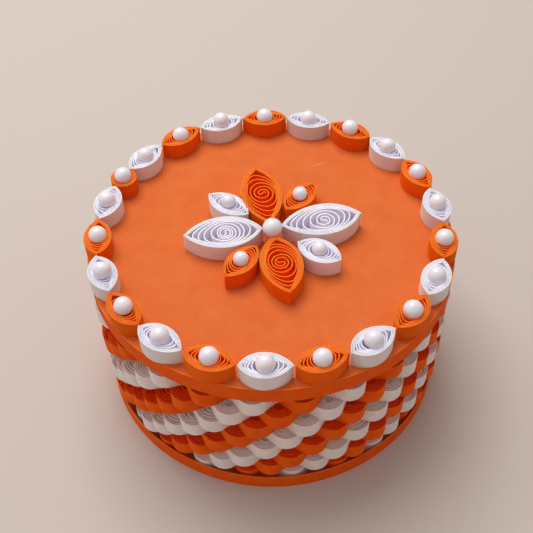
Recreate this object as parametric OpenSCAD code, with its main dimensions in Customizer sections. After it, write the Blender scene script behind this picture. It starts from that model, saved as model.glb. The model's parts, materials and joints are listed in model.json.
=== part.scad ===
// Round gift box of quilled paper: a wall of rolled and pinched strips laid like
// fish scales on a card base, and a lift-off lid with a ring of pearled rolls and
// a flower. The origin is the middle of the base's underside, the front faces -Y.

/* [Paper] */
// Width of the paper strip, which is the height of every roll and band
strip_w = 5; // [3:0.5:8]
// Thickness of a band glued round a board
band_t = 0.5; // [0.3:0.1:1]
// Space between a roll's last pinched point and its neighbour's
point_gap = 0.1; // [0.05:0.05:0.4]
// How far one turn reaches into the next along the roll's flanks
turn_bond = 0.06; // [0.04:0.01:0.1]
// Thickness of the last turn round an open middle
eye_wall = 0.15; // [0.1:0.05:0.3]

/* [Boards] */
// Diameter of the base board and the lid board
board_d = 99; // [85:1:130]
// Thickness of the base board and the lid board
board_t = 1.5; // [1:0.25:3]

/* [Wall] */
// Number of tiers of rolls in the wall
tiers = 9; // [3:1:12]
// Number of orange and white pairs of rolls in one tier
wall_pairs = 12; // [9:1:15]
// Width of a wall roll, from the inside of the box to the outside
wall_roll_w = 9; // [8:0.5:10]
// Width of a wall roll's pinched ends as a share of its round middle
wall_point_share = 0.6; // [0.5:0.05:1]
// Space between the wall and the standing part of either band
wall_clearance = 0.3; // [0.2:0.05:0.6]
// How far the middle tier stands out past the lowest and the highest
wall_bulge = 1.4; // [0:0.1:2]
// Share of a roll by which each tier steps round from the one below
tier_step = 0.45; // [0.3:0.01:0.5]
// Direction of a white roll in the lowest tier, in degrees
wall_start = 6; // [0:1:30]
// Thickness of a wall roll's tightly wound outside
wall_rim = 0.9; // [0.6:0.1:1.2]
// Radius of the open middle of a wall roll
wall_eye_r = 1.2; // [0.8:0.1:1.6]
// Number of loose turns in a wall roll
wall_turns = 3; // [2:1:4]

/* [Lid ring] */
// Number of orange and white pairs of rolls on the lid
ring_pairs = 11; // [9:1:13]
// Width of a ring roll
ring_roll_w = 7; // [6:0.25:8]
// Step from the lid's edge in to the ring of rolls
ring_inset = 0.2; // [0.1:0.1:1]
// Place in the ring of the one short roll, counted clockwise from the back
short_roll = 19; // [1:2:21]
// Length of the short roll as a share of the others
short_share = 0.56; // [0.5:0.01:1]
// Direction of the first roll, in degrees
ring_start = 91; // [80:1:100]
// Thickness of a ring roll's tightly wound outside
ring_rim = 0.7; // [0.5:0.1:1]
// Number of loose turns in a ring roll
ring_turns = 3; // [2:1:4]

/* [Flower] */
// Step of the flower's middle to the right of the lid's middle
flower_x = 0.5; // [-2:0.5:2]
// Step of the flower's middle behind the lid's middle
flower_y = -2; // [-3:0.5:2]
// Radius of the circle on which the large petals' inner points stand
flower_eye_r = 2.5; // [2.2:0.1:2.6]
// Length of a large petal
large_petal_l = 21.6; // [18:0.2:24]
// Width of a large petal
large_petal_w = 11.5; // [10:0.25:12]
// Thickness of a large petal's tightly wound outside
large_petal_rim = 1; // [0.7:0.1:1.3]
// Radius of the round opening in a large petal
large_petal_eye_r = 2.6; // [2:0.1:3]
// Number of loose turns in a large petal
large_petal_turns = 4; // [3:1:5]
// Thickness of the loose strip curled in a large petal's opening
curl_t = 0.35; // [0.25:0.05:0.5]
// Distance between turns of that loose strip
curl_pitch = 0.9; // [0.8:0.1:1.2]
// Length of a small petal
small_petal_l = 13.6; // [12:0.2:14]
// Width of a small petal
small_petal_w = 7; // [6:0.25:7.5]
// Distance from the flower's middle to a small petal's inner point
small_petal_in_r = 8.2; // [7.8:0.1:10]

/* [Pearls] */
// Diameter of a pearl in the ring
ring_pearl_d = 4.8; // [4:0.1:5.4]
// Diameter of a pearl in a small petal
petal_pearl_d = 4.4; // [4:0.1:5]
// Diameter of the pearl in the flower's middle
centre_pearl_d = 5.4; // [5.2:0.1:7]
// Height of a pearl's middle over the roll that it sits in
pearl_rise = 0.8; // [0.4:0.1:1.4]
// Space between a pearl and the edge that it sits on
pearl_clearance = 0.05; // [0.02:0.01:0.1]

/* [Hidden] */
$fn = 48;
// Share of a turn's step that is open at the roll's points
OPEN_SHARE = 0.6;
// How flat the wall's bulge is between its lowest and highest tier
BULGE_POWER = 4;
// How much thicker the wound outside is at the points than on the flanks
POINT_THICKEN = 1.5;

board_r = board_d / 2;
outer_r = board_r + band_t;
wall_h = tiers * strip_w;
wall_z = board_t;
lid_z = wall_z + wall_h;
lid_top_z = lid_z + board_t;
top_z = lid_top_z + strip_w;

// The lowest and highest tiers stand just inside the bands
wall_r = board_r - wall_clearance - wall_roll_w / 2;
wall_step = 180 / wall_pairs;

// All rolls of the ring share the round but for the short one
ring_count = 2 * ring_pairs;
ring_r = outer_r - ring_inset - ring_roll_w / 2;
ring_step = 360 / (ring_count - 1 + short_share);
ring_roll_l = chord(ring_r, ring_step);
short_roll_l = chord(ring_r, ring_step * short_share);

// Large petals: name, direction, turn from that direction, share of the length, colour
LARGE_PETALS = [
    ["back_large_petal", 101, -2, 1.08, "darkorange"],
    ["left_large_petal", 185, 0, 1, "white"],
    ["right_large_petal", 14, -4, 1.04, "white"],
    ["front_large_petal", -80, -1, 0.945, "darkorange"],
];
// Small petals in the corners between them, in the same order of values
SMALL_PETALS = [
    ["back_left_small_petal", 141, 1, 1.045, "white"],
    ["back_right_small_petal", 58, -9, 1, "darkorange"],
    ["front_left_small_petal", -126, -3, 1, "darkorange"],
    ["front_right_small_petal", -35, 2, 0.97, "white"],
];

function tier_name(tier, colour) = str("tier_", tier, "_", colour, "_rolls");
function ring_name(place) = str("ring_roll_", place < 10 ? "0" : "", place);

// Length of a roll that fills an angle of a circle, less the space to the next
function chord(radius, angle) = 2 * radius * tan(angle / 2) - point_gap;

// Distance of a tier's roll middles from the box's middle: its rolls stand point
// to point, and the tiers between the lowest and the highest bulge out
function tier_height_share(tier) = (2 * tier - tiers - 1) / max(1, tiers - 1);
function tier_r(tier) =
    wall_r + wall_bulge * (1 - pow(tier_height_share(tier), BULGE_POWER));

// Radius of either flank of a pinched roll, and its centre's step past the axis
function flank_r(l, w) = (l * l + w * w) / (4 * w);
function flank_step(l, w) = flank_r(l, w) - w / 2;

// Direction of a ring roll, clockwise from the first at the back
function ring_turns_before(place) =
    place < short_roll ? place - 1
    : place == short_roll ? place - 1.5 + short_share / 2
    : place - 2 + short_share;
function ring_angle(place) = ring_start - ring_step * ring_turns_before(place);

// Radius of the opening that a pearl sits in with its middle at pearl_rise
function seat_r(pearl_d) =
    sqrt(pow(pearl_d / 2, 2) - pow(pearl_rise, 2)) + pearl_clearance;

// Height of the middle pearl over the inner points of the large petals
function centre_pearl_rise() =
    sqrt(pow(centre_pearl_d / 2 + pearl_clearance, 2) - pow(flower_eye_r, 2));

// Pinched outline along X: two arcs that meet at a point at either end
module pinched(l, w) {
    intersection() {
        translate([0, flank_step(l, w)]) circle(flank_r(l, w));
        translate([0, -flank_step(l, w)]) circle(flank_r(l, w));
    }
}

// Outline of a roll whose pinched ends may be narrower than its round middle
module roll_outline(l, w, point_share) {
    pinched(l, w * point_share);
    if (point_share < 1) circle(w / 2);
}

// Openings that one loose turn leaves towards both points of a roll
module turn_openings(l, w, step) {
    difference() {
        pinched(l, w);
        pinched(l - 2 * step * OPEN_SHARE, w + 2 * turn_bond);
    }
}

// A rolled and pinched strip along X, open in the middle
module roll_plan(l, w, rim, turns, eye_r, point_share) {
    first_l = l - 2 * rim * POINT_THICKEN;
    first_w = w * point_share - 2 * rim;
    last_l = 2 * (eye_r + rim);
    last_w = 2 * (eye_r + eye_wall);
    step = (first_l - last_l) / 2 / turns;
    narrowing = (first_w - last_w) / max(1, turns - 1);
    difference() {
        roll_outline(l, w, point_share);
        for (turn = [0 : turns - 1])
            turn_openings(first_l - 2 * step * turn, first_w - narrowing * turn, step);
        circle(eye_r);
    }
}

module roll(l, w, rim, turns, eye_r, point_share = 1) {
    linear_extrude(strip_w) roll_plan(l, w, rim, turns, eye_r, point_share);
}

// Half turn of a loose strip, above the X axis
module half_turn(radius) {
    intersection() {
        difference() {
            circle(radius);
            circle(radius - curl_t);
        }
        translate([-radius, -turn_bond / 2]) square([2 * radius, radius + turn_bond]);
    }
}

// Loose end of the strip, curling in from the edge of a round opening
module curl(opening_r) {
    first_r = opening_r + curl_t / 2 - curl_pitch / 4;
    halves = floor((first_r - curl_t) * 2 / curl_pitch);
    linear_extrude(strip_w)
        for (half = [0 : halves - 1])
            rotate(180 * half)
                translate([curl_pitch / 4, 0])
                    half_turn(first_r - half * curl_pitch / 2);
}

module board() {
    color("chocolate") cylinder(h = board_t, r = board_r);
}

module band() {
    color("darkorange")
        linear_extrude(strip_w)
            difference() {
                circle(outer_r);
                circle(board_r);
            }
}

module base_board() {
    board();
}

module base_band() {
    band();
}

// The rolls of one colour in one tier
module tier_rolls(tier, colour) {
    own_turn = colour == "white" ? 0 : wall_step;
    color(colour == "white" ? "white" : "darkorange")
        for (pair = [0 : wall_pairs - 1])
            rotate(wall_start + (tier - 1) * tier_step * wall_step
                + own_turn + 2 * wall_step * pair)
                translate([tier_r(tier), 0, wall_z + (tier - 1) * strip_w])
                    rotate(90)
                        roll(chord(tier_r(tier), wall_step), wall_roll_w, wall_rim,
                            wall_turns, wall_eye_r, wall_point_share);
}

module lid_board() {
    translate([0, 0, lid_z]) board();
}

// The lid's band hangs below its board as a short skirt
module lid_band() {
    translate([0, 0, lid_top_z - strip_w]) band();
}

module on_ring(place) {
    rotate(ring_angle(place)) translate([ring_r, 0, 0]) rotate(90) children();
}

module ring_roll(place) {
    length = place == short_roll ? short_roll_l : ring_roll_l;
    color(place % 2 == 1 ? "darkorange" : "white")
        translate([0, 0, lid_top_z])
            on_ring(place)
                roll(length, ring_roll_w, ring_rim, place == short_roll ? 1 : ring_turns,
                    seat_r(ring_pearl_d));
}

module pearl(pearl_d, rise) {
    color("seashell") translate([0, 0, top_z + rise]) sphere(d = pearl_d);
}

module ring_pearls() {
    for (place = [1 : ring_count]) on_ring(place) pearl(ring_pearl_d, pearl_rise);
}

// Puts a petal's middle where its inner point stands on a circle of the flower
module on_flower(petal, inner_r, l) {
    translate([flower_x, flower_y, 0])
        rotate(petal[1])
            translate([inner_r + l / 2, 0, 0])
                rotate(petal[2])
                    children();
}

module large_petal(petal) {
    l = large_petal_l * petal[3];
    color(petal[4])
        translate([0, 0, lid_top_z])
            on_flower(petal, flower_eye_r, l) {
                roll(l, large_petal_w, large_petal_rim, large_petal_turns, large_petal_eye_r);
                curl(large_petal_eye_r);
            }
}

module small_petal(petal) {
    l = small_petal_l * petal[3];
    color(petal[4])
        translate([0, 0, lid_top_z])
            on_flower(petal, small_petal_in_r, l)
                roll(l, small_petal_w, ring_rim, ring_turns, seat_r(petal_pearl_d));
}

module petal_pearls() {
    for (petal = SMALL_PETALS)
        on_flower(petal, small_petal_in_r, small_petal_l * petal[3])
            pearl(petal_pearl_d, pearl_rise);
}

module centre_pearl() {
    translate([flower_x, flower_y, 0]) pearl(centre_pearl_d, centre_pearl_rise());
}

base_board();
base_band();
for (tier = [1 : tiers], colour = ["orange", "white"])
    tier_rolls(tier, colour);
lid_board();
lid_band();
for (place = [1 : ring_count])
    ring_roll(place);
ring_pearls();
for (petal = LARGE_PETALS)
    large_petal(petal);
for (petal = SMALL_PETALS)
    small_petal(petal);
petal_pearls();
centre_pearl();
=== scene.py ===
"""Looks of a quilled paper gift box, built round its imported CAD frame.

Every roll is one strip of paper, wound, let loose and pinched to two points.
The two bands are glued strips with a lapped end, the boards keep their CAD
shape and take card, and the pearls are slightly uneven beads. Sizes in the
dataclasses are millimetres, and MM turns them to Blender's metres.
"""

from __future__ import annotations

import json
import logging
import math
from dataclasses import dataclass, field
from enum import Enum

import bpy
import numpy as np
from mathutils import Matrix, Vector

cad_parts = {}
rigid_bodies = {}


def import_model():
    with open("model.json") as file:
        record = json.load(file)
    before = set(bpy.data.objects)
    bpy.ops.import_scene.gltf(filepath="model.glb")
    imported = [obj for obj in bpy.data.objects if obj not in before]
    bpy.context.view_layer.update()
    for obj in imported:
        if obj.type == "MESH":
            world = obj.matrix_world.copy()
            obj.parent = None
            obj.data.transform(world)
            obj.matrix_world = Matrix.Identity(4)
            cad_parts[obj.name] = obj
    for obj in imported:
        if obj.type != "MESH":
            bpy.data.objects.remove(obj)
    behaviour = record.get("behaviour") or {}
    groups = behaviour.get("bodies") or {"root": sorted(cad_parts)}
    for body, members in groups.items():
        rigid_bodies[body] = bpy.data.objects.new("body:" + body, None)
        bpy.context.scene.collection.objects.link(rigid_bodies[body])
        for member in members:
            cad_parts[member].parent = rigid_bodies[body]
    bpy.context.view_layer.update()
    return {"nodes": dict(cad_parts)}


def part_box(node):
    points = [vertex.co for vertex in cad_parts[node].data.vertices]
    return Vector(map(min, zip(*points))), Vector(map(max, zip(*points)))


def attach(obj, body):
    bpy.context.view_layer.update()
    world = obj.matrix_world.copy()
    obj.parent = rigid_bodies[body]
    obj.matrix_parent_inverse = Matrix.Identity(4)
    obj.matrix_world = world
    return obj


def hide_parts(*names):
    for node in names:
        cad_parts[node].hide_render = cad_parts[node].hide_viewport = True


LOG = logging.getLogger("gift_box")
MM = 0.001
FULL_TURN = 2 * math.pi
PEARL_RISE = (0.2, 0.9)  # a pearl's middle over the rolls' tops, in millimetres
PEARL_UNEVENNESS = 0.18  # millimetres


class Body(Enum):
    """The two bodies of the box, by the record's names."""

    BOX = "box"
    LID = "lid"


class Colour(Enum):
    """The two colours of quilling strip."""

    ORANGE = "orange"
    WHITE = "white"

    @property
    def slot(self) -> str:
        """The record's material slot of rolls in this colour."""
        return f"{self.value}_rolls"


def linear(hex_colour: str) -> tuple[float, float, float, float]:
    """Turns an sRGB hex colour to linear values.

    Args:
        hex_colour: Six hex digits, without a mark before them.

    Returns:
        Red, green, blue and full alpha.
    """
    shares = [int(hex_colour[i : i + 2], 16) / 255 for i in (0, 2, 4)]
    red, green, blue = [
        s / 12.92 if s <= 0.04045 else ((s + 0.055) / 1.055) ** 2.4 for s in shares
    ]
    return red, green, blue, 1.0


def add_node(
    tree: bpy.types.NodeTree, kind: str, inputs: dict | None = None, **settings: object
) -> bpy.types.Node:
    """Adds one node with its settings and links.

    Args:
        tree: Tree of a material, a world or geometry.
        kind: Blender's name for the type of node.
        inputs: Name or number of an input, to its value or the socket that feeds it.
        settings: The node's own options.

    Returns:
        The new node.
    """
    node = tree.nodes.new(kind)
    for name, value in settings.items():
        setattr(node, name, value)
    for key, value in (inputs or {}).items():
        if isinstance(value, bpy.types.NodeSocket):
            tree.links.new(value, node.inputs[key])
        else:
            node.inputs[key].default_value = value
    return node


def new_material(name: str) -> tuple[bpy.types.Material, bpy.types.NodeTree]:
    """Makes an empty node material.

    Args:
        name: Name of the material.

    Returns:
        The material and its node tree.
    """
    material = bpy.data.materials.new(name)
    material.use_nodes = True
    material.node_tree.nodes.clear()
    return material, material.node_tree


def calculate(
    tree: bpy.types.NodeTree, operation: str, *terms: object
) -> bpy.types.NodeSocket:
    """Adds one math node.

    Args:
        tree: Tree that it joins.
        operation: Blender's name for the operation.
        terms: Values or sockets, in the node's own order.

    Returns:
        The result.
    """
    return add_node(
        tree, "ShaderNodeMath", dict(enumerate(terms)), operation=operation
    ).outputs[0]


def blend(
    tree: bpy.types.NodeTree, share: object, low: object, high: object
) -> bpy.types.NodeSocket:
    """Adds one mix of two colours.

    Args:
        tree: Tree that it joins.
        share: Share of the second colour.
        low: First colour, as sRGB hex digits or a socket.
        high: Second colour, in the same way.

    Returns:
        The mixed colour.
    """
    first, second = [linear(c) if isinstance(c, str) else c for c in (low, high)]
    return add_node(
        tree, "ShaderNodeMix", {0: share, 6: first, 7: second}, data_type="RGBA"
    ).outputs[2]


def noise(
    tree: bpy.types.NodeTree, feature_mm: float, detail: float
) -> bpy.types.NodeSocket:
    """Adds noise on object coordinates, with features of about the given size."""
    place = add_node(tree, "ShaderNodeTexCoord").outputs["Object"]
    return add_node(
        tree,
        "ShaderNodeTexNoise",
        {"Vector": place, "Scale": 1 / (feature_mm * MM), "Detail": detail},
    ).outputs["Fac"]


def remap(
    tree: bpy.types.NodeTree,
    value: bpy.types.NodeSocket,
    low: float,
    high: float,
    to_low: float = 0.0,
    to_high: float = 1.0,
) -> bpy.types.NodeSocket:
    """Maps a range of a value to another range, and clamps it there."""
    return add_node(
        tree,
        "ShaderNodeMapRange",
        {
            "Value": value,
            "From Min": low,
            "From Max": high,
            "To Min": to_low,
            "To Max": to_high,
        },
    ).outputs[0]


def attribute(tree: bpy.types.NodeTree, name: str) -> bpy.types.NodeSocket:
    """Reads one of the mesh's own values."""
    return add_node(tree, "ShaderNodeAttribute", attribute_name=name).outputs["Fac"]


@dataclass(frozen=True)
class PaperFinish:
    """Dyed paper, calendered and slit: matt, finely mottled, with painted light and shade
    on its top edges and a painted glow in its inner turns.
    """

    name: str
    face_hex: str
    mottle_hex: str
    # Painted light and shade on the top edges: lighter than the face where light falls on
    # them, darker on the wall where they lie in shade.
    top_edge_lighting_hex: str
    mottle_mm: float = 3.0
    fibre_mm: float = 0.35  # real fibres are 0.03 mm, drawn coarser so that they show
    bump_mm: float = 0.03
    fibre_share: float = 0.25
    # Top edges without painted light and shade: the face colour only.
    plain_top_edges: bool = False
    tone_range: float = 0.10
    roughness: float = 0.78
    glow: float = 0.0
    glow_mm: float = 0.6
    glow_hex: str = "FFF8F4"
    # Painted light: emission on the inner turns, lightening the shade in the gaps between
    # them.
    painted_gap_light: float = 0.0
    painted_gap_light_hex: str = "FFFFFF"

    def material(self) -> bpy.types.Material:
        """Builds the finish on object coordinates and the rolls' own tone."""
        material, tree = new_material(self.name)
        colour, fibres = self.colour(tree)
        bump = add_node(
            tree,
            "ShaderNodeBump",
            {"Strength": 0.5, "Distance": self.bump_mm * MM, "Height": fibres},
        )
        self.finish_off(tree, colour, bump.outputs["Normal"])
        return material

    def colour(
        self, tree: bpy.types.NodeTree
    ) -> tuple[bpy.types.NodeSocket, bpy.types.NodeSocket]:
        """Adds the nodes of the colour.

        Args:
            tree: The material's tree.

        Returns:
            The colour and the height of the fibres.
        """
        mottle = noise(tree, self.mottle_mm, 3.0)
        fibres = noise(tree, self.fibre_mm, 4.0)
        both = add_node(
            tree, "ShaderNodeMix", {0: self.fibre_share, 2: mottle, 3: fibres}
        ).outputs[0]
        patches = remap(tree, both, 0.35, 0.68)
        face = blend(tree, patches, self.face_hex, self.mottle_hex)
        # Painted light and shade: faces that point up take the top-edge colour.
        normal = add_node(tree, "ShaderNodeNewGeometry").outputs["True Normal"]
        upright = add_node(tree, "ShaderNodeSeparateXYZ", {0: normal}).outputs["Z"]
        level = calculate(tree, "ABSOLUTE", upright)
        top_lighting = face if self.plain_top_edges else self.top_edge_lighting_hex
        face_with_top_lighting = blend(tree, remap(tree, level, 0.7, 0.9), face, top_lighting)
        value = remap(tree, attribute(tree, "tone"), 0.0, 1.0, 1 - self.tone_range, 1.0)
        toned = add_node(tree, "ShaderNodeHueSaturation", {"Value": value, "Color": face_with_top_lighting})
        return toned.outputs[0], fibres

    def finish_off(
        self,
        tree: bpy.types.NodeTree,
        colour: bpy.types.NodeSocket,
        normal: bpy.types.NodeSocket,
    ) -> None:
        """Adds the shader and the output.

        Args:
            tree: The material's tree.
            colour: Socket with the colour.
            normal: Socket with the bumped normal.
        """
        # Painted light: the inner turns glow, so the gaps between them look lit.
        gap_light = blend(tree, attribute(tree, "inside"), "000000", self.painted_gap_light_hex)
        shader = add_node(
            tree,
            "ShaderNodeBsdfPrincipled",
            {
                "Base Color": colour,
                "Roughness": self.roughness,
                "Specular IOR Level": 0.12,
                "Subsurface Weight": self.glow,
                "Subsurface Radius": linear(self.glow_hex)[:3],
                "Subsurface Scale": self.glow_mm * MM,
                "Emission Color": gap_light,
                "Emission Strength": self.painted_gap_light,
                "Normal": normal,
            },
        )
        add_node(tree, "ShaderNodeOutputMaterial", {0: shader.outputs[0]})


@dataclass(frozen=True)
class CardFinish(PaperFinish):
    """Card with one thin pale scratch, as in the photograph."""

    scratch_from: tuple[float, float, float] = (11.4, 28.4, 48.0)
    scratch_to: tuple[float, float, float] = (18.7, 30.9, 48.0)
    scratch_w: float = 0.22
    scratch_hex: str = "F6A070"

    def colour(
        self, tree: bpy.types.NodeTree
    ) -> tuple[bpy.types.NodeSocket, bpy.types.NodeSocket]:
        """Adds the scratch over the card's own colour."""
        card, fibres = super().colour(tree)
        start = Vector(self.scratch_from) * MM
        run = Vector(self.scratch_to) * MM - start
        along = run.normalized()
        across = Vector((-along.y, along.x, 0))
        place = add_node(
            tree,
            "ShaderNodeVectorMath",
            {
                0: add_node(tree, "ShaderNodeTexCoord").outputs["Object"],
                1: start + run / 2,
            },
            operation="SUBTRACT",
        ).outputs[0]
        share: object = 1.0
        for way, reach in (
            (along, run.length / 2),
            (across, self.scratch_w / 2 * MM),
            (Vector((0, 0, 1)), MM),
        ):
            apart = add_node(
                tree, "ShaderNodeVectorMath", {0: place, 1: way}, operation="DOT_PRODUCT"
            ).outputs["Value"]
            size = calculate(tree, "ABSOLUTE", apart)
            near = remap(tree, size, 0.3 * reach, reach, 1.0, 0.0)
            share = calculate(tree, "MULTIPLY", near, share)
        return blend(tree, share, card, self.scratch_hex), fibres


@dataclass(frozen=True)
class PearlFinish:
    """Imitation pearl, dipped in lacquer: satin ivory with a soft coat of gloss."""

    name: str = "lacquered_imitation_pearl"
    warm_hex: str = "EEE4E6"
    cool_hex: str = "E4E6EE"
    cloud_mm: float = 2.5
    roughness: float = 0.28
    coat_weight: float = 0.35
    coat_roughness: float = 0.12

    def material(self) -> bpy.types.Material:
        """Builds the finish, warmer or cooler by each pearl's tone."""
        material, tree = new_material(self.name)
        share = add_node(
            tree,
            "ShaderNodeMix",
            {0: 0.3, 2: attribute(tree, "tone"), 3: noise(tree, self.cloud_mm, 2.0)},
        ).outputs[0]
        shader = add_node(
            tree,
            "ShaderNodeBsdfPrincipled",
            {
                "Base Color": blend(tree, share, self.warm_hex, self.cool_hex),
                "Roughness": self.roughness,
                "Coat Weight": self.coat_weight,
                "Coat Roughness": self.coat_roughness,
            },
        )
        add_node(tree, "ShaderNodeOutputMaterial", {0: shader.outputs[0]})
        return material


# Lid strips: top edges painted lighter as lit from above, inner turns with a painted
# orange glow.
ORANGE_STRIP = PaperFinish(
    "dyed_orange_quilling_strip",
    "F06408",
    "EA5E04",
    "F47820",
    fibre_share=0.12,
    glow=0.9,
    glow_mm=0.25,
    glow_hex="FFB080",
    painted_gap_light=0.06,
    painted_gap_light_hex="FF3C00",
)
# Top edges painted bluish and lighter as lit from above, inner turns with a painted bluish
# glow.
WHITE_STRIP = PaperFinish(
    "white_quilling_strip",
    "EAE2E0",
    "E4DCDC",
    "EEEEFC",
    fibre_share=0.12,
    glow=1.0,
    glow_mm=0.4,
    painted_gap_light=0.11,
    painted_gap_light_hex="C0C8FC",
)
# Shaded copies of the strips for the wall: darker faces, top edges darker still as painted
# shade, and a weaker painted glow in the inner turns.
WALL_ORANGE = PaperFinish(
    "orange_quilling_strip_in_painted_shade",
    "EE5E08",
    "E65604",
    "DC4404",
    fibre_share=0.12,
    glow=1.0,
    glow_mm=0.25,
    glow_hex="FFB080",
    painted_gap_light=0.04,
    painted_gap_light_hex="FF2C00",
)
# Shaded copy of the white strip for the wall, as painted shade.
WALL_WHITE = PaperFinish(
    "white_quilling_strip_in_painted_shade",
    "EEE4E0",
    "E6DCD8",
    "DCCCC4",
    fibre_share=0.12,
    glow=1.0,
    glow_mm=0.35,
    painted_gap_light=0.05,
    painted_gap_light_hex="CCB4AC",
)
# Top edge painted lighter as a highlight.
ORANGE_BAND = PaperFinish(
    "dyed_orange_glued_strip", "F26006", "EA5602", "F67C2C", fibre_share=0.12
)
ORANGE_CARD = CardFinish(
    "dyed_orange_card",
    "E87A40",
    "D86228",
    "E27038",
    mottle_mm=5.0,
    fibre_mm=0.3,
    fibre_share=0.75,
    plain_top_edges=True,
    bump_mm=0.08,
    roughness=0.85,
)


class NodeShape:
    """A geometry tree whose named inputs are set before it first runs."""

    def __init__(self, name: str, sockets: dict[str, str]) -> None:
        """Starts a tree.

        Args:
            name: Name of the tree.
            sockets: Name of each input, to the type of its socket.
        """
        self.tree = bpy.data.node_groups.new(name, "GeometryNodeTree")
        face = self.tree.interface
        face.new_socket("Geometry", in_out="INPUT", socket_type="NodeSocketGeometry")
        for label, kind in sockets.items():
            face.new_socket(label, in_out="INPUT", socket_type=kind)
        face.new_socket("Geometry", in_out="OUTPUT", socket_type="NodeSocketGeometry")
        self.inputs = self.tree.nodes.new("NodeGroupInput").outputs

    def end(self, geometry: bpy.types.NodeSocket) -> None:
        """Realizes the geometry, gives it its material and ends the tree."""
        real = add_node(self.tree, "GeometryNodeRealizeInstances", {0: geometry})
        dressed = add_node(
            self.tree,
            "GeometryNodeSetMaterial",
            {"Geometry": real.outputs[0], "Material": self.inputs["Material"]},
        )
        add_node(self.tree, "NodeGroupOutput", {0: dressed.outputs[0]})

    def tone(
        self, geometry: bpy.types.NodeSocket, value: bpy.types.NodeSocket, domain: str
    ) -> bpy.types.NodeSocket:
        """Stores a lightness among its kind on each point or instance."""
        return add_node(
            self.tree,
            "GeometryNodeStoreNamedAttribute",
            {"Geometry": geometry, "Name": "tone", "Value": value},
            data_type="FLOAT",
            domain=domain,
        ).outputs[0]

    def make(
        self, name: str, mesh: bpy.types.Mesh, values: dict[str, object]
    ) -> bpy.types.Object:
        """Runs the tree and keeps its result as a plain mesh.

        Args:
            name: Name of the new object.
            mesh: What the tree starts from.
            values: Name of each input, to its value.

        Returns:
            The object, without a modifier.
        """
        made = bpy.data.objects.new(name, mesh)
        bpy.context.scene.collection.objects.link(made)
        modifier = made.modifiers.new("shape", "NODES")
        modifier.node_group = self.tree
        for item in self.tree.interface.items_tree:
            if item.in_out == "INPUT" and item.name in values:
                modifier[item.identifier] = values[item.name]
        view = bpy.context.evaluated_depsgraph_get()
        made_mesh = bpy.data.meshes.new_from_object(
            made.evaluated_get(view), preserve_all_data_layers=True, depsgraph=view
        )
        made.modifiers.remove(modifier)
        made.data = made_mesh
        made_mesh.name = name
        return made


class StripShape(NodeShape):
    """A flat strip of paper that stands on edge along a path."""

    SHARP_ANGLE = math.radians(38)

    def __init__(self) -> None:
        """Builds the tree."""
        super().__init__(
            "paper_strip_on_a_path",
            {
                "Paper Thickness": "NodeSocketFloat",
                "Strip Width": "NodeSocketFloat",
                "Tone": "NodeSocketFloat",
                "Material": "NodeSocketMaterial",
            },
        )
        tree = self.tree
        line = add_node(
            tree, "GeometryNodeMeshToCurve", {"Mesh": self.inputs["Geometry"]}
        )
        upright = add_node(
            tree, "GeometryNodeSetCurveNormal", {"Curve": line.outputs[0]}, mode="Z_UP"
        )
        profile = add_node(
            tree,
            "GeometryNodeCurvePrimitiveQuadrilateral",
            {
                "Width": self.inputs["Paper Thickness"],
                "Height": self.inputs["Strip Width"],
            },
        )
        strip = add_node(
            tree,
            "GeometryNodeCurveToMesh",
            {
                "Curve": upright.outputs[0],
                "Profile Curve": profile.outputs[0],
                "Fill Caps": True,
            },
        )
        self.end(self.tone(strip.outputs[0], self.inputs["Tone"], "POINT"))

    def strip(
        self,
        name: str,
        points: np.ndarray,
        paper_t: float,
        strip_w: float,
        material: bpy.types.Material,
        tone: float = 0.5,
        inside: np.ndarray | None = None,
    ) -> bpy.types.Object:
        """Makes one strip.

        Args:
            name: Name of the object.
            points: Middle line of the strip, in millimetres.
            paper_t: Thickness of the paper.
            strip_w: Width of the strip, which is its height on edge.
            material: What it is made of.
            tone: Lightness of this strip among its kind, 0 to 1.
            inside: For each point, how far it lies inside its roll, 0 to 1.

        Returns:
            The strip.
        """
        line = bpy.data.meshes.new(name)
        edges = [(i, i + 1) for i in range(len(points) - 1)]
        line.from_pydata((points * MM).tolist(), edges, [])
        depth = line.attributes.new("inside", "FLOAT", "POINT")
        if inside is not None:
            depth.data.foreach_set("value", inside.astype(np.float32))
        made = self.make(
            name,
            line,
            {
                "Paper Thickness": paper_t * MM,
                "Strip Width": strip_w * MM,
                "Tone": tone,
                "Material": material,
            },
        )
        made.data.set_sharp_from_angle(angle=self.SHARP_ANGLE)
        return made


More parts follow.
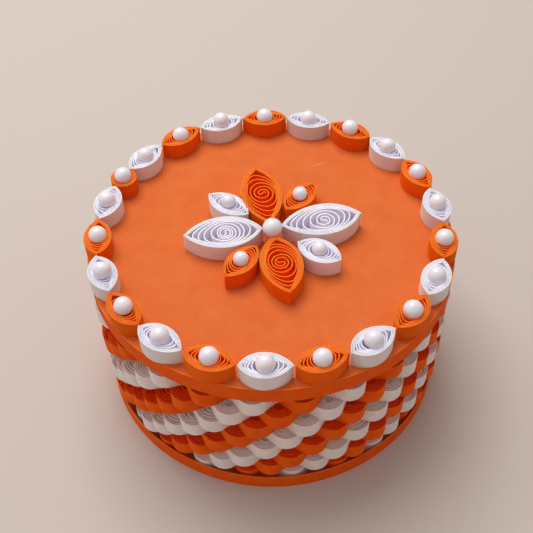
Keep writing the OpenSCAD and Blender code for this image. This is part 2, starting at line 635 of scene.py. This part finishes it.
class TierShape(NodeShape):
    """Rolls set side by side round a circle, each a little out of true."""

    def __init__(self) -> None:
        """Builds the tree."""
        super().__init__(
            "rolls_round_a_tier",
            {
                "Rolls": "NodeSocketCollection",
                "Kinds": "NodeSocketInt",
                "Count": "NodeSocketInt",
                "Radius": "NodeSocketFloat",
                "First Direction": "NodeSocketFloat",
                "Height": "NodeSocketFloat",
                "Lean": "NodeSocketFloat",
                "Wander": "NodeSocketFloat",
                "Seed": "NodeSocketInt",
                "Material": "NodeSocketMaterial",
            },
        )
        tree, inputs = self.tree, self.inputs
        step = calculate(tree, "DIVIDE", FULL_TURN, inputs["Count"])
        index = add_node(tree, "GeometryNodeInputIndex").outputs[0]
        direction = calculate(
            tree, "MULTIPLY_ADD", index, step, inputs["First Direction"]
        )
        radius = calculate(tree, "ADD", inputs["Radius"], self.random("Wander", 1))
        across = [
            calculate(tree, "MULTIPLY", radius, calculate(tree, way, direction))
            for way in ("COSINE", "SINE")
        ]
        place = add_node(
            tree,
            "ShaderNodeCombineXYZ",
            {0: across[0], 1: across[1], 2: inputs["Height"]},
        )
        points = add_node(
            tree,
            "GeometryNodePoints",
            {"Count": inputs["Count"], "Position": place.outputs[0]},
        )
        turned = calculate(tree, "ADD", direction, math.pi / 2)
        flip = add_node(
            tree,
            "FunctionNodeRandomValue",
            {4: 0, 5: 1, 8: self.seed(5)},
            data_type="INT",
        )
        flipped = calculate(
            tree, "MULTIPLY_ADD", flip.outputs[2], math.pi, turned
        )
        heading = calculate(tree, "ADD", flipped, self.random("Lean", 2))
        turn = add_node(
            tree, "ShaderNodeCombineXYZ", {0: self.random("Lean", 3), 2: heading}
        )
        kinds = add_node(
            tree,
            "GeometryNodeCollectionInfo",
            {"Collection": inputs["Rolls"], "Separate Children": True},
        )
        top_kind = calculate(tree, "SUBTRACT", inputs["Kinds"], 1.0)
        pick = add_node(
            tree,
            "FunctionNodeRandomValue",
            {4: 0, 5: top_kind, 8: self.seed(4)},
            data_type="INT",
        )
        rolls = add_node(
            tree,
            "GeometryNodeInstanceOnPoints",
            {
                "Points": points.outputs[0],
                "Instance": kinds.outputs[0],
                "Pick Instance": True,
                "Instance Index": pick.outputs[2],
                "Rotation": turn.outputs[0],
            },
        )
        tone = add_node(
            tree,
            "FunctionNodeRandomValue",
            {2: 0.0, 3: 1.0, 8: self.seed(6)},
            data_type="FLOAT",
        )
        self.end(self.tone(rolls.outputs[0], tone.outputs[1], "INSTANCE"))

    def seed(self, own: int) -> bpy.types.NodeSocket:
        """A seed of its own for each random value, from the tier's seed."""
        return calculate(self.tree, "ADD", self.inputs["Seed"], 10.0 * own)

    def random(self, reach: str, own: int) -> bpy.types.NodeSocket:
        """A random value for each roll.

        Args:
            reach: Name of the input that says how far it goes either way.
            own: Number that sets its seed apart.

        Returns:
            The value's socket.
        """
        least = calculate(self.tree, "MULTIPLY", self.inputs[reach], -1.0)
        return add_node(
            self.tree,
            "FunctionNodeRandomValue",
            {2: least, 3: self.inputs[reach], 8: self.seed(own)},
            data_type="FLOAT",
        ).outputs[1]


class BeadShape(NodeShape):
    """Pearls on the points of a mesh, each slightly out of round."""

    def __init__(self) -> None:
        """Builds the tree."""
        super().__init__(
            "pearls_on_points",
            {
                "Diameter": "NodeSocketFloat",
                "Unevenness": "NodeSocketFloat",
                "Seed": "NodeSocketInt",
                "Material": "NodeSocketMaterial",
            },
        )
        tree, inputs = self.tree, self.inputs
        radius = calculate(tree, "MULTIPLY", inputs["Diameter"], 0.5)
        ball = add_node(
            tree,
            "GeometryNodeMeshUVSphere",
            {"Segments": 32, "Rings": 20, "Radius": radius},
        )
        smooth = add_node(
            tree, "GeometryNodeSetShadeSmooth", {"Geometry": ball.outputs[0]}
        )
        turn = add_node(
            tree,
            "FunctionNodeRandomValue",
            {0: (0, 0, 0), 1: (FULL_TURN,) * 3, 8: inputs["Seed"]},
            data_type="FLOAT_VECTOR",
        )
        pearls = add_node(
            tree,
            "GeometryNodeInstanceOnPoints",
            {
                "Points": inputs["Geometry"],
                "Instance": smooth.outputs[0],
                "Rotation": turn.outputs[0],
            },
        )
        tone = add_node(
            tree,
            "FunctionNodeRandomValue",
            {2: 0.0, 3: 1.0, 8: inputs["Seed"]},
            data_type="FLOAT",
        )
        toned = self.tone(pearls.outputs[0], tone.outputs[1], "INSTANCE")
        real = add_node(tree, "GeometryNodeRealizeInstances", {0: toned})
        bumps = add_node(
            tree, "ShaderNodeTexNoise", {"Scale": 1 / (2.0 * MM), "Detail": 0.0}
        )
        level = calculate(tree, "SUBTRACT", bumps.outputs["Fac"], 0.5)
        reach = calculate(tree, "MULTIPLY", level, inputs["Unevenness"])
        push = add_node(
            tree,
            "ShaderNodeVectorMath",
            {
                0: add_node(tree, "GeometryNodeInputNormal").outputs[0],
                "Scale": reach,
            },
            operation="SCALE",
        )
        uneven = add_node(
            tree,
            "GeometryNodeSetPosition",
            {"Geometry": real.outputs[0], "Offset": push.outputs[0]},
        )
        self.end(uneven.outputs[0])


@dataclass
class WoundRoll:
    """One strip wound to a coil, let loose and pinched to two points along X.

    Its tight outer turns are the rim. The loose turns lie close on the flanks
    and part towards both points, down to a round eye. A curl, if it has one,
    is the strip's own loose start inside the eye, bent to a hook.
    """

    BELLY_POWER = 12  # how tightly a round belly meets its narrow points

    length: float
    width: float
    eye_r: float
    rim_turns: int = 3
    loose_turns: int = 5
    paper_t: float = 0.28
    pitch: float = 0.31
    point_share: float = 1.0
    point_spread: float = 1.2
    flank_ease: float = 1.7
    unevenness: float = 0.3
    roundness: float = 0.9
    twist_deg: float = 14.0
    belly: float = 0.0
    slump: float = 0.0
    curl_turns: float = 0.0
    curl_end_r: float = 1.2
    samples: int = 24
    seam_turn: float = 0.0
    height_drop: float = 0.05
    seed: int = 1

    def _sizes(
        self, start: float, rim_step: float, rng: np.random.Generator | None
    ) -> np.ndarray:
        """Half sizes of the whole turns, from the outside in.

        Args:
            start: Half size of the outermost turn.
            rim_step: How much smaller each tight turn is.
            rng: Source of uneven steps, or None for the flanks, which close up.

        Returns:
            One half size for each whole turn.
        """
        rim = start - rim_step * np.arange(self.rim_turns + 1)
        shares = np.ones(self.loose_turns)
        if rng is not None:
            shares += rng.uniform(-self.unevenness, self.unevenness, self.loose_turns)
        fall = np.cumsum(shares) / shares.sum()
        if rng is None:
            fall = fall**self.flank_ease
        return np.concatenate([rim, rim[-1] + (self.eye_r - rim[-1]) * fall])

    def path(self) -> np.ndarray:
        """Middle line of the strip, from its glued outer end to its start."""
        rng = np.random.default_rng(self.seed)
        whole = np.arange(self.rim_turns + self.loose_turns + 1)
        turn = np.arange(whole[-1] * self.samples + 1) / self.samples
        angle = FULL_TURN * (self.seam_turn + turn)
        half_w = np.interp(
            turn, whole, self._sizes((self.width - self.paper_t) / 2, self.pitch, None)
        )
        ends = [
            np.interp(
                turn,
                whole,
                self._sizes(
                    (self.length - self.paper_t) / 2 - way * self.belly,
                    self.pitch * self.point_spread,
                    rng,
                ),
            )
            for way in (1, -1)
        ]
        loose = np.clip((turn - self.rim_turns) / self.loose_turns, 0, 1)
        leaning = angle - math.radians(self.twist_deg) * np.sin(math.pi * loose)
        half_l = np.maximum(np.where(np.cos(leaning) >= 0, ends[0], ends[1]), half_w)
        point_w = half_w * self.point_share
        flank_r = (half_l**2 + point_w**2) / (2 * point_w)
        step = flank_r - point_w
        pinched = (
            np.sqrt(flank_r**2 - (step * np.cos(leaning)) ** 2)
            - step * np.abs(np.sin(leaning))
        )
        if self.point_share < 1:
            joined = pinched**self.BELLY_POWER + half_w**self.BELLY_POWER
            pinched = joined ** (1 / self.BELLY_POWER)
            pinched = np.minimum(pinched, half_l)
        oval = half_l * half_w / np.hypot(
            half_w * np.cos(leaning), half_l * np.sin(leaning)
        )
        rounded = self.roundness * np.clip(2.5 * loose, 0, 1)
        reach = pinched + (oval - pinched) * rounded
        spare = self.pitch * (1 + 0.3 * np.cos(angle) ** 2)
        for here in range(self.samples, len(reach)):
            outer = reach[here - self.samples] - spare[here]
            reach[here] = max(min(reach[here], outer), self.eye_r)
        points = np.stack(
            [
                self.belly + reach * np.cos(angle),
                reach * np.sin(angle) + self.slump * loose,
                self._drops(rng, turn, whole),
            ],
            axis=1,
        )
        if self.curl_turns:
            points = np.concatenate([points, self._curl(angle[-1])])
        return points

    def inside(self, count: int) -> np.ndarray:
        """How far each of the path's points lies inside the outer turns, 0 to 1."""
        turn = np.arange(count) / self.samples
        return np.clip(turn - self.rim_turns + 0.5, 0, 1)

    def _drops(
        self, rng: np.random.Generator, turn: np.ndarray, whole: np.ndarray
    ) -> np.ndarray:
        """How far each point's strip stands below the roll's top."""
        return -np.interp(turn, whole, rng.uniform(0, self.height_drop, len(whole)))

    def _curl(self, start_angle: float) -> np.ndarray:
        """The loose start of the strip: a widening curl that ends in a hook."""
        count = int(self.curl_turns * self.samples)
        share = np.arange(1, count + 1) / count
        angle = start_angle + FULL_TURN * self.curl_turns * share
        radius = self.eye_r + (self.curl_end_r - self.eye_r) * share**0.8
        curl = np.stack([radius * np.cos(angle), radius * np.sin(angle)], axis=1)
        toward = math.atan2(curl[-1, 1], curl[-1, 0])
        middle = curl[-1] / 2
        hook_r = self.curl_end_r / 2
        steps = np.linspace(0, 1, 9)[1:]
        inward = middle + hook_r * np.stack(
            [np.cos(toward + math.pi * steps), np.sin(toward + math.pi * steps)], axis=1
        )
        outward = -middle * 0.8 + 0.8 * hook_r * np.stack(
            [np.cos(toward - 2.6 * steps), np.sin(toward - 2.6 * steps)], axis=1
        )
        flat = np.concatenate([curl, inward, outward]) + (self.belly, self.slump)
        return np.column_stack([flat, np.zeros(len(flat))])


@dataclass
class Seat:
    """Where a pinched roll lies: from tip to tip on the lid."""

    middle: Vector
    direction: float
    length: float

    @classmethod
    def of_node(cls, node: bpy.types.Object) -> Seat:
        """Reads the two tips of a roll from its CAD node.

        Args:
            node: CAD node of one roll.

        Returns:
            Its seat, in millimetres.
        """
        corners = np.unique(
            np.round([[v.co.x, v.co.y] for v in node.data.vertices], 6), axis=0
        )
        spans = np.linalg.norm(corners[:, None] - corners[None], axis=2)
        first, last = np.unravel_index(spans.argmax(), spans.shape)
        run = corners[last] - corners[first]
        middle = (corners[last] + corners[first]) / 2
        bottom = min(v.co.z for v in node.data.vertices)
        return cls(
            Vector((*middle, bottom)) / MM,
            math.atan2(run[1], run[0]),
            float(spans.max()) / MM,
        )

    def put(self, points: np.ndarray) -> np.ndarray:
        """Moves points from the roll's own axes to this seat."""
        cosine, sine = math.cos(self.direction), math.sin(self.direction)
        turned = np.array([[cosine, -sine, 0], [sine, cosine, 0], [0, 0, 1]])
        return points @ turned.T + np.array(self.middle)


def ride(
    piece: bpy.types.Object, body: Body, slot: str, *nodes: str
) -> bpy.types.Object:
    """Hands a finished piece to the frame.

    Args:
        piece: The piece, with its place in its mesh.
        body: The body that it moves with.
        slot: Not used.
        nodes: CAD nodes that it stands for.

    Returns:
        The same piece.
    """
    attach(piece, body.value)
    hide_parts(*nodes)
    LOG.info("%s: %d faces", piece.name, len(piece.data.polygons))
    return piece


@dataclass
class Workshop:
    """The strip tree and the finishes that every sub-assembly uses."""

    strips: StripShape = field(default_factory=StripShape)
    beads: BeadShape = field(default_factory=BeadShape)
    papers: dict[Colour, bpy.types.Material] = field(
        default_factory=lambda: {
            Colour.ORANGE: ORANGE_STRIP.material(),
            Colour.WHITE: WHITE_STRIP.material(),
        }
    )
    wall_papers: dict[Colour, bpy.types.Material] = field(
        default_factory=lambda: {
            Colour.ORANGE: WALL_ORANGE.material(),
            Colour.WHITE: WALL_WHITE.material(),
        }
    )
    pearl: bpy.types.Material = field(default_factory=lambda: PearlFinish().material())


@dataclass
class Boards:
    """The two card discs, which keep their CAD shape."""

    names: tuple[str, ...] = ("base_board", "lid_board")

    def dress(self, nodes: dict[str, bpy.types.Object]) -> None:
        """Gives both boards their card finish."""
        card = ORANGE_CARD.material()
        for name in self.names:
            nodes[name].data.materials.clear()
            nodes[name].data.materials.append(card)
            LOG.info("%s: dressed in card", name)


@dataclass
class Band:
    """A strip glued round a board, with its end lapped over its start."""

    node: str
    body: Body
    lap_direction_deg: float
    strip_w: float = 5.0
    paper_t: float = 0.36
    inner_gap: float = 0.03
    lap_deg: float = 9.0
    lap_sink: float = 0.16
    wave: float = 0.05
    samples: int = 240

    def make(self, shop: Workshop, material: bpy.types.Material) -> None:
        """Builds the band and puts it in its CAD node's place."""
        low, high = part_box(self.node)
        inner_r = (high.x - low.x) / 2 / MM - 0.5 + self.inner_gap
        share = np.linspace(0, 1, self.samples)
        sweep = math.radians(self.lap_deg) + FULL_TURN
        angle = math.radians(self.lap_direction_deg) + sweep * share
        lapped = np.clip((sweep * share - FULL_TURN) / math.radians(2), 0, 1)
        radius = (
            inner_r
            + self.paper_t / 2
            + lapped * (self.paper_t - self.lap_sink)
            + self.wave * np.sin(7 * angle) * (1 - lapped)
        )
        height = (low.z + high.z) / 2 / MM + self.wave * np.sin(3 * angle + 1)
        points = np.stack([radius * np.cos(angle), radius * np.sin(angle), height], axis=1)
        made = shop.strips.strip(
            f"{self.node}_strip", points, self.paper_t, self.strip_w, material
        )
        ride(made, self.body, "orange_strip", self.node)


@dataclass
class Wall:
    """Tiers of rolls round the box, each stepped round from the one below."""

    tiers: int = 9
    pairs: int = 12
    roll_w: float = 9.0
    eye_r: float = 1.3
    point_share: float = 0.6
    strip_w: float = 5.0
    point_gap: float = 0.1
    kinds: int = 6
    lean_deg: float = 1.2
    wander: float = 0.25

    def radius(self, node: bpy.types.Object) -> float:
        """Distance of a tier's roll middles from the box's middle, in millimetres."""
        outermost = max(math.hypot(v.co.x, v.co.y) for v in node.data.vertices)
        return outermost / MM - self.roll_w / 2

    def roll_l(self, node: bpy.types.Object) -> float:
        """Length of a tier's rolls, tip to tip."""
        half_step = math.pi / self.pairs / 2
        return 2 * self.radius(node) * math.tan(half_step) - self.point_gap

    def first_direction(self, node: bpy.types.Object) -> float:
        """Direction of a tier's first roll, from the middle of its CAD corners."""
        around = [math.atan2(v.co.y, v.co.x) * self.pairs for v in node.data.vertices]
        return math.atan2(
            sum(map(math.sin, around)), sum(map(math.cos, around))
        ) / self.pairs

    def kinds_of_roll(
        self, shop: Workshop, colour: Colour, length: float
    ) -> bpy.types.Collection:
        """Winds a few different rolls that the tiers take their pick from."""
        kinds = bpy.data.collections.new(f"{colour.value}_wall_rolls")
        bpy.context.scene.collection.children.link(kinds)
        for kind in range(self.kinds):
            roll = WoundRoll(
                length=length,
                width=self.roll_w,
                eye_r=self.eye_r,
                point_share=self.point_share,
                rim_turns=1,
                loose_turns=(4, 5, 5, 4, 4, 5)[kind],
                flank_ease=1.0,
                belly=(-0.4, 0.0, 0.4)[kind % 3],
                slump=(-0.7, -0.4, 0.6, 0.4, -0.9, 0.7)[kind],
                samples=22,
                seam_turn=0.5 * (kind % 2),
                seed=10 * kind + len(colour.value),
            )
            points = roll.path() + np.array([0, 0, self.strip_w / 2])
            made = shop.strips.strip(
                f"{colour.value}_wall_roll_{kind}",
                points,
                roll.paper_t,
                self.strip_w,
                shop.wall_papers[colour],
                inside=roll.inside(len(points)),
            )
            bpy.context.scene.collection.objects.unlink(made)
            kinds.objects.link(made)
        return kinds

    def make(self, shop: Workshop, nodes: dict[str, bpy.types.Object]) -> None:
        """Builds every tier's rolls, one piece for each colour of each tier."""
        shape = TierShape()
        middle_tier = (self.tiers + 1) // 2
        for colour in Colour:
            widest = nodes[f"tier_{middle_tier}_{colour.value}_rolls"]
            kinds = self.kinds_of_roll(shop, colour, self.roll_l(widest))
            for tier in range(1, self.tiers + 1):
                name = f"tier_{tier}_{colour.value}_rolls"
                made = shape.make(
                    f"tier_{tier}_{colour.value}_wound",
                    bpy.data.meshes.new(name),
                    {
                        "Rolls": kinds,
                        "Kinds": self.kinds,
                        "Count": self.pairs,
                        "Radius": self.radius(nodes[name]) * MM,
                        "First Direction": self.first_direction(nodes[name]),
                        "Height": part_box(name)[0].z,
                        "Lean": math.radians(self.lean_deg),
                        "Wander": self.wander * MM,
                        "Seed": tier,
                        "Material": shop.wall_papers[colour],
                    },
                )
                ride(made, Body.BOX, colour.slot, name)
            for roll in list(kinds.objects):
                bpy.data.objects.remove(roll)
            bpy.data.collections.remove(kinds)


@dataclass
class LidRing:
    """Pinched rolls round the lid's edge, each with a pearl in its eye."""

    count: int = 22
    roll_w: float = 7.8
    eye_r: float = 2.2
    strip_w: float = 5.0
    pearl_d: float = 4.85
    pearl_node: str = "ring_pearls"

    def make(self, shop: Workshop, nodes: dict[str, bpy.types.Object]) -> None:
        """Winds every roll of the ring and sets the pearls."""
        rng = np.random.default_rng(7)
        places = []
        for place in range(1, self.count + 1):
            name = f"ring_roll_{place:02d}"
            colour = Colour.ORANGE if place % 2 else Colour.WHITE
            seat = Seat.of_node(nodes[name])
            short = seat.length < 1.5 * self.roll_w
            roll = WoundRoll(
                length=seat.length,
                width=self.roll_w,
                eye_r=self.eye_r,
                loose_turns=2 if short else 3,
                belly=0.0 if short else rng.uniform(-0.6, 0.6),
                slump=rng.uniform(-0.15, 0.15),
                samples=36,
                seam_turn=rng.choice([0.0, 0.5]),
                seed=100 + place,
            )
            points = roll.path() + np.array([0, 0, self.strip_w / 2])
            made = shop.strips.strip(
                f"{name}_wound",
                seat.put(points),
                roll.paper_t,
                self.strip_w,
                shop.papers[colour],
                tone=rng.uniform(0, 1),
                inside=roll.inside(len(points)),
            )
            ride(made, Body.LID, colour.slot, name)
            places.append(seat.middle)
        set_pearls(shop, self.pearl_node, places, self.pearl_d, seed=3)


def set_pearls(
    shop: Workshop, node: str, places: list[Vector], diameter: float, seed: int
) -> None:
    """Glues pearls into the eyes of rolls, some a little deeper than others.

    Args:
        shop: Trees and finishes.
        node: CAD node of the pearls.
        places: Middles of the rolls.
        diameter: Diameter of one pearl.
        seed: Seed of their tones and unevenness.
    """
    rng = np.random.default_rng(seed)
    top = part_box("ring_roll_01")[1].z / MM
    points = bpy.data.meshes.new(node)
    points.from_pydata(
        [(p.x * MM, p.y * MM, (top + rng.uniform(*PEARL_RISE)) * MM) for p in places],
        [],
        [],
    )
    made = shop.beads.make(
        f"{node}_set",
        points,
        {
            "Diameter": diameter * MM,
            "Unevenness": PEARL_UNEVENNESS * MM,
            "Seed": seed,
            "Material": shop.pearl,
        },
    )
    ride(made, Body.LID, "pearl", node)


@dataclass(frozen=True)
class SmallPetal:
    """A small petal as it was wound, and how far its glue let it slip."""

    place: str
    colour: Colour
    width: float
    right: float = 0.0
    back: float = 0.0

    @property
    def node(self) -> str:
        """Its CAD node."""
        return f"{self.place}_small_petal"

    def seat(self, nodes: dict[str, bpy.types.Object]) -> Seat:
        """Where it lies, with its X axis leaving the flower's middle."""
        seat = Seat.of_node(nodes[self.node])
        out = Vector((math.cos(seat.direction), math.sin(seat.direction), 0))
        if out.dot(seat.middle) < 0:
            seat.direction += math.pi
        seat.middle += Vector((self.right, self.back, 0))
        return seat


@dataclass(frozen=True)
class LargePetal(SmallPetal):
    """A large petal, with its number of loose turns and its loose start."""

    loose_turns: int = 5
    belly: float = 0.0
    slump: float = 0.0
    curl: float = 1.5

    @property
    def node(self) -> str:
        """Its CAD node."""
        return f"{self.place}_large_petal"


@dataclass
class Flower:
    """Eight petals round a middle pearl."""

    large: tuple[LargePetal, ...] = (
        LargePetal(
            "back", Colour.ORANGE, 11.8, loose_turns=4, belly=0.3, slump=-0.3, curl=1.2
        ),
        LargePetal(
            "left",
            Colour.WHITE,
            11.9,
            loose_turns=4,
            belly=-0.7,
            slump=0.3,
            curl=2.1,
            back=0.5,
        ),
        LargePetal(
            "right", Colour.WHITE, 11.9, loose_turns=4, belly=0.7, slump=-0.4, curl=1.3
        ),
        LargePetal(
            "front", Colour.ORANGE, 11.5, loose_turns=4, belly=-0.5, slump=-0.2, curl=1.6
        ),
    )
    small: tuple[SmallPetal, ...] = (
        SmallPetal("back_left", Colour.WHITE, 7.8, back=0.7),
        SmallPetal("back_right", Colour.ORANGE, 8.0),
        SmallPetal("front_left", Colour.ORANGE, 7.8, right=0.4, back=1.0),
        SmallPetal("front_right", Colour.WHITE, 8.4, back=0.3),
    )
    strip_w: float = 5.0
    large_eye_r: float = 2.7
    small_eye_r: float = 1.9
    small_pearl_d: float = 4.1
    centre_pearl_d: float = 5.4

    def make(self, shop: Workshop, nodes: dict[str, bpy.types.Object]) -> None:
        """Winds the petals and sets their pearls."""
        for number, petal in enumerate(self.large):
            seat = petal.seat(nodes)
            roll = WoundRoll(
                length=seat.length,
                width=petal.width,
                eye_r=self.large_eye_r,
                loose_turns=petal.loose_turns,
                belly=petal.belly,
                slump=petal.slump,
                curl_turns=petal.curl,
                samples=44,
                seam_turn=0.5 * (number % 2),
                seed=300 + number,
            )
            self._wind(shop, petal, roll, seat)
        middles = []
        for number, petal in enumerate(self.small):
            seat = petal.seat(nodes)
            roll = WoundRoll(
                length=seat.length,
                width=petal.width,
                eye_r=self.small_eye_r,
                rim_turns=2,
                loose_turns=4,
                samples=36,
                seam_turn=0.5 * (number % 2),
                seed=400 + number,
            )
            self._wind(shop, petal, roll, seat)
            middles.append(seat.middle)
        set_pearls(shop, "petal_pearls", middles, self.small_pearl_d, seed=5)
        low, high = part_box("centre_pearl")
        middle = (low + high) / 2 / MM
        set_pearls(shop, "centre_pearl", [middle], self.centre_pearl_d, seed=8)

    def _wind(
        self, shop: Workshop, petal: SmallPetal, roll: WoundRoll, seat: Seat
    ) -> None:
        """Winds one petal on its seat."""
        points = roll.path() + np.array([0, 0, self.strip_w / 2])
        made = shop.strips.strip(
            f"{petal.node}_wound",
            seat.put(points),
            roll.paper_t,
            self.strip_w,
            shop.papers[petal.colour],
            tone=0.8,
            inside=roll.inside(len(points)),
        )
        ride(made, Body.LID, petal.colour.slot, petal.node)


@dataclass
class Studio:
    """Pale floor, soft lamps and the camera at the photograph's viewing angle."""

    lens: float = 55.2
    place: tuple[float, float, float] = (-1.35, -155.94, 209.06)
    pitch_deg: float = 48.012
    roll_deg: float = -1.411
    floor_hex: str = "C6BAB0"
    floor_size: float = 4000.0
    zenith_hex: str = "EEF2FF"
    horizon_hex: str = "FFDFC0"
    sky_strength: float = 0.5
    lamp_watts: float = 6.2
    lamp_place: tuple[float, float, float] = (-160.0, 330.0, 800.0)
    lamp_size: float = 600.0
    fill_watts: float = 0.5
    fill_place: tuple[float, float, float] = (-640.0, -260.0, 330.0)

    def floor(self) -> None:
        """Lays the floor under the box."""
        half = self.floor_size / 2 * MM
        mesh = bpy.data.meshes.new("floor")
        corners = [(-half, -half, 0), (half, -half, 0), (half, half, 0), (-half, half, 0)]
        mesh.from_pydata(corners, [], [(0, 1, 2, 3)])
        material, tree = new_material("matt_studio_floor")
        shader = add_node(
            tree,
            "ShaderNodeBsdfPrincipled",
            {"Base Color": linear(self.floor_hex), "Roughness": 0.9},
        )
        add_node(tree, "ShaderNodeOutputMaterial", {0: shader.outputs[0]})
        mesh.materials.append(material)
        floor = bpy.data.objects.new("floor", mesh)
        bpy.context.scene.collection.objects.link(floor)

    def light(self) -> None:
        """Hangs the soft lamp over and behind the box, under an even sky."""
        world = bpy.data.worlds.new("studio")
        world.use_nodes = True
        tree = world.node_tree
        tree.nodes.clear()
        way = add_node(tree, "ShaderNodeTexCoord").outputs["Generated"]
        rise = add_node(tree, "ShaderNodeSeparateXYZ", {0: way}).outputs["Z"]
        sky = add_node(
            tree,
            "ShaderNodeMix",
            {0: rise, 6: linear(self.horizon_hex), 7: linear(self.zenith_hex)},
            data_type="RGBA",
        )
        glow = add_node(
            tree,
            "ShaderNodeBackground",
            {"Color": sky.outputs[2], "Strength": self.sky_strength},
        )
        add_node(tree, "ShaderNodeOutputWorld", {0: glow.outputs[0]})
        bpy.context.scene.world = world
        for name, watts, place in (
            ("soft_lamp", self.lamp_watts, self.lamp_place),
            ("fill_lamp", self.fill_watts, self.fill_place),
        ):
            lamp = bpy.data.lights.new(name, "AREA")
            lamp.energy = watts
            lamp.size = self.lamp_size * MM
            holder = bpy.data.objects.new(name, lamp)
            holder.location = Vector(place) * MM
            holder.rotation_euler = (-holder.location).to_track_quat("-Z", "Y").to_euler()
            bpy.context.scene.collection.objects.link(holder)

    def camera(self) -> None:
        """Sets the camera where the photograph was taken from."""
        data = bpy.data.cameras.new("camera")
        data.lens = self.lens
        data.sensor_width = 36
        data.clip_start = 0.01
        pitch, roll = math.radians(self.pitch_deg), math.radians(self.roll_deg)
        ahead = Vector((0, math.cos(pitch), -math.sin(pitch)))
        right = Vector((1, 0, 0))
        up = right.cross(ahead)
        side = right * math.cos(roll) + up * math.sin(roll)
        top = up * math.cos(roll) - right * math.sin(roll)
        turned = Matrix((side, top, -ahead)).transposed().to_4x4()
        holder = bpy.data.objects.new("camera", data)
        holder.matrix_world = Matrix.Translation(Vector(self.place) * MM) @ turned
        bpy.context.scene.collection.objects.link(holder)
        bpy.context.scene.camera = holder

    def make(self) -> None:
        """Builds the studio."""
        self.floor()
        self.light()
        self.camera()
        bpy.context.scene.view_settings.view_transform = "Standard"


def main() -> None:
    """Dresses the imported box, piece by piece."""
    logging.basicConfig(level=logging.INFO, format="%(name)s: %(message)s")
    for thing in list(bpy.data.objects):
        bpy.data.objects.remove(thing)
    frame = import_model()
    shop = Workshop()
    nodes = frame["nodes"]
    Boards().dress(nodes)
    band_paper = ORANGE_BAND.material()
    Band("base_band", Body.BOX, lap_direction_deg=150).make(shop, band_paper)
    Band("lid_band", Body.LID, lap_direction_deg=75).make(shop, band_paper)
    Wall().make(shop, nodes)
    LidRing().make(shop, nodes)
    Flower().make(shop, nodes)
    Studio().make()


if __name__ == "__main__":
    main()
